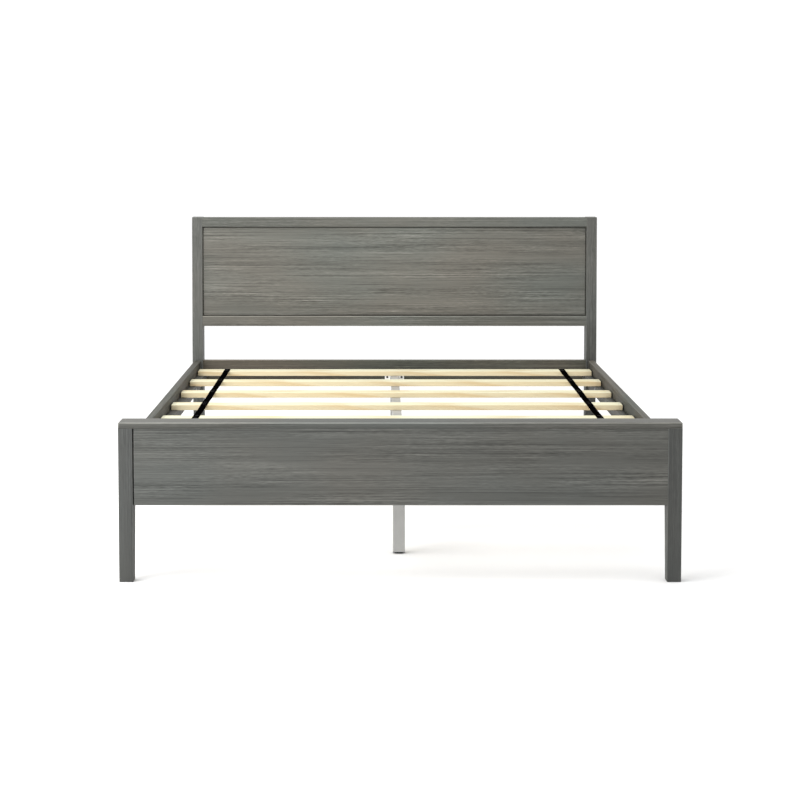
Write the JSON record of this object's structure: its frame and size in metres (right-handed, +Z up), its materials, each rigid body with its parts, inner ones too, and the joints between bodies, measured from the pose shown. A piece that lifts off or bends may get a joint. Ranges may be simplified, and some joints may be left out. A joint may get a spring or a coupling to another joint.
{
  "type": "slatted bed frame",
  "caption": "Low wooden bed frame with panelled headboard and footboard, wide slats tied by webbing, and a steel centre rail on legs with levelling feet.",
  "frame": {"origin": "on the floor under the middle of the bed, at the bottom centre of its bounding box", "axes": "+X to the right seen from the foot end, across the bed; +Y from the footboard to the headboard; +Z up"},
  "size_m": [1.58, 2.208, 0.942],
  "materials": {
    "grey_wood": "matt grey wood-grain finish",
    "beech": "plain fluted beech",
    "pine": "planed pine, unfinished",
    "webbing": "woven polypropylene tape",
    "zinc_hardware": "bright zinc",
    "black_steel": "black oxide",
    "painted_steel": "light grey powder coat",
    "galvanised_steel": "galvanised sheet",
    "black_plastic": "moulded, fine texture"
  },
  "bodies": {
    "frame": {"headboard_post_left": "grey_wood", "headboard_post_right": "grey_wood", "headboard_top_rail": "grey_wood", "headboard_lower_rail": "grey_wood", "headboard_panel": "grey_wood", "headboard_cross_rail": "grey_wood", "headboard_dowels": "beech", "footboard_post_left": "grey_wood", "footboard_post_right": "grey_wood", "footboard_cap": "grey_wood", "footboard_panel": "grey_wood", "footboard_dowels": "beech", "side_rail_left": "grey_wood", "side_rail_right": "grey_wood", "rail_bolts": "zinc_hardware", "rail_washers": "zinc_hardware", "rail_nuts": "zinc_hardware", "ledger_left": "grey_wood", "ledger_right": "grey_wood", "ledger_screws": "zinc_hardware", "slat_1": "pine", "slat_2": "pine", "slat_3": "pine", "slat_4": "pine", "slat_5": "pine", "slat_6": "pine", "slat_7": "pine", "slat_screws": "zinc_hardware", "strap_left": "webbing", "strap_right": "webbing", "strap_staples": "black_steel", "center_rail": "painted_steel", "rail_hanger_head": "galvanised_steel", "rail_hanger_foot": "galvanised_steel", "hanger_screws": "black_steel", "center_leg_front": "painted_steel", "center_leg_back": "painted_steel", "leg_screws": "zinc_hardware", "leg_plug_front": "black_plastic", "leg_plug_back": "black_plastic"},
    "levelling_foot_front": {"levelling_foot_front": "black_plastic"},
    "levelling_foot_back": {"levelling_foot_back": "black_plastic"}
  },
  "joints": [
    {"name": "levelling_foot_front_screw", "type": "slide", "parent": "frame", "child": "levelling_foot_front", "axis": [0, 0, -1], "range_m": [0, 0.012]},
    {"name": "levelling_foot_back_screw", "type": "slide", "parent": "frame", "child": "levelling_foot_back", "axis": [0, 0, -1], "range_m": [0, 0.012]}
  ]
}
